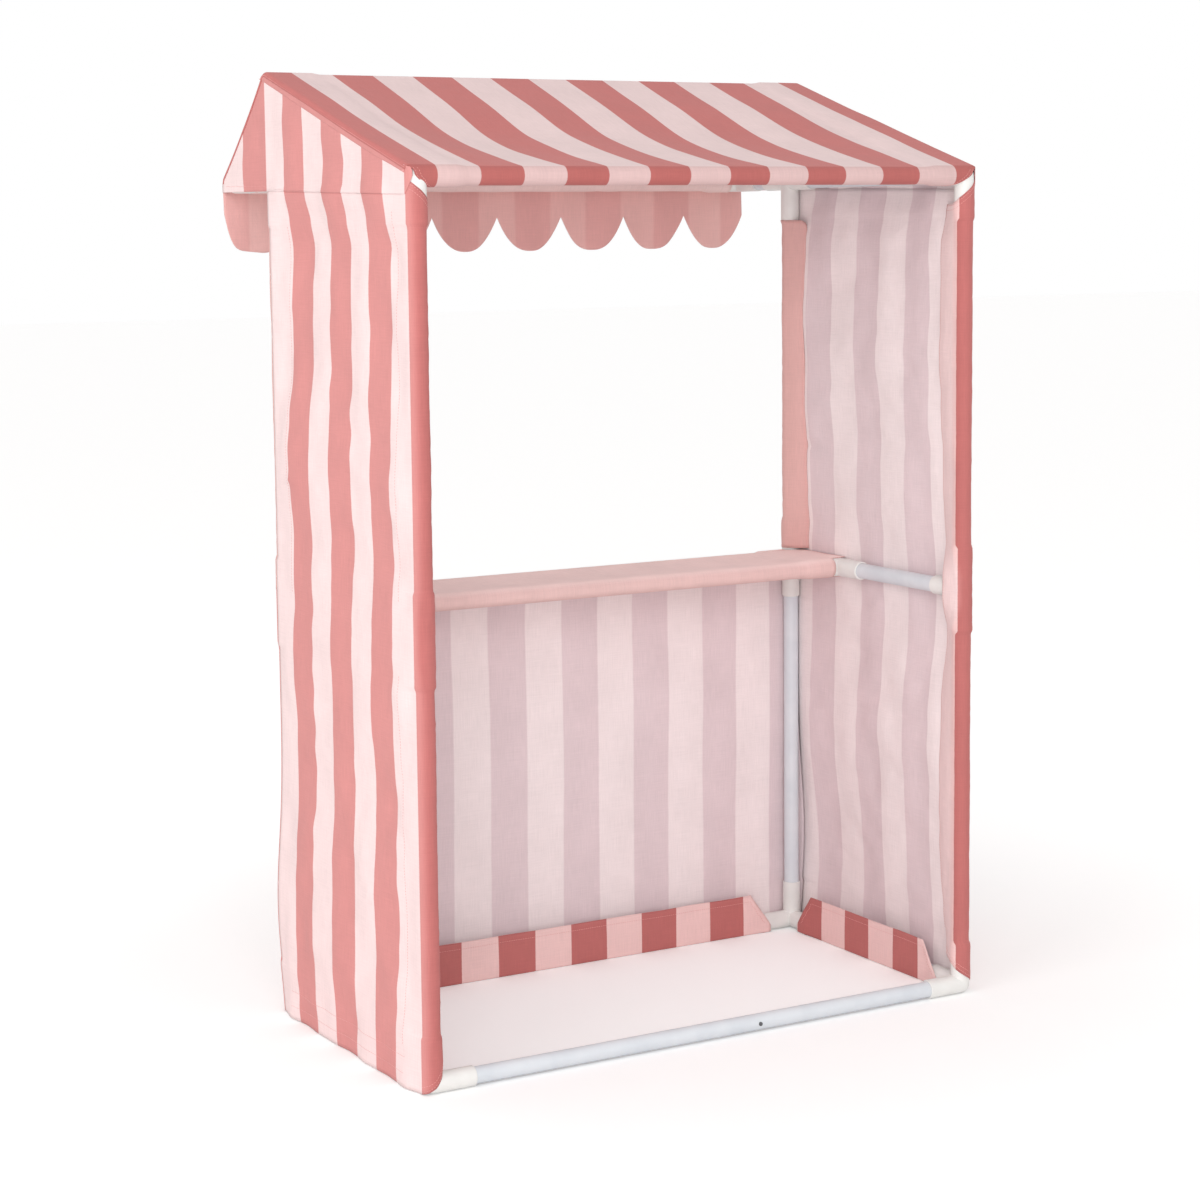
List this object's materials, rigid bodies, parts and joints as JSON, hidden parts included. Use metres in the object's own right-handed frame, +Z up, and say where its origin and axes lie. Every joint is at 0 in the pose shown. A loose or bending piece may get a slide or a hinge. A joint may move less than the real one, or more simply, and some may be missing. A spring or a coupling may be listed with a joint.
{
  "type": "toy market stall",
  "caption": "Child's play market stall: push-fit tube frame under a striped cloth roof with scalloped valance, cloth side walls, front panel and cloth counter, open at the back.",
  "frame": {"origin": "on the ground, at the middle of the outline's box", "axes": "+Z up; +Y towards the customers, where the valance and the counter are; -Y is the open side; +X to the right when looking along +Y"},
  "size_m": [0.963, 0.6654, 1.4435],
  "materials": {
    "frame_tube": "white powder-coated thin-walled tube, satin",
    "connector": "white moulded plastic push-fit connector, smooth",
    "button": "small steel spring button",
    "striped_cloth": "woven polyester cloth with wide red and pale pink stripes, paler and mauve on its inner side",
    "pink_cloth": "plain dusty pink woven polyester cloth"
  },
  "bodies": {
    "root": {"rear_bottom_tube": "frame_tube", "front_bottom_tube": "frame_tube", "side_bottom_tubes": "frame_tube", "rear_lower_posts": "frame_tube", "rear_upper_posts": "frame_tube", "front_lower_posts": "frame_tube", "front_upper_posts": "frame_tube", "counter_front_tube": "frame_tube", "counter_inner_tube": "frame_tube", "counter_side_tubes": "frame_tube", "counter_short_tubes": "frame_tube", "rear_eave_tube": "frame_tube", "side_eave_tubes": "frame_tube", "overhang_side_tubes": "frame_tube", "overhang_front_tube": "frame_tube", "ridge_risers": "frame_tube", "ridge_tube": "frame_tube", "rear_bottom_corners": "connector", "front_bottom_corners": "connector", "rear_counter_tees": "connector", "inner_counter_tees": "connector", "front_counter_crosses": "connector", "rear_eave_corners": "connector", "front_eave_crosses": "connector", "overhang_corners": "connector", "ridge_corners": "connector", "spring_button": "button", "roof_rear_slope": "striped_cloth", "roof_eave_wrap": "striped_cloth", "roof_front_slope": "striped_cloth", "gable_left": "striped_cloth", "gable_right": "striped_cloth", "wall_left": "striped_cloth", "wall_right": "striped_cloth", "rear_sleeve_left": "striped_cloth", "rear_sleeve_right": "striped_cloth", "front_panel": "striped_cloth", "front_hem": "striped_cloth", "side_hem_left": "striped_cloth", "side_hem_right": "striped_cloth", "valance": "striped_cloth", "front_sleeve_left": "pink_cloth", "front_sleeve_right": "pink_cloth", "counter_cover": "pink_cloth"}
  },
  "joints": []
}
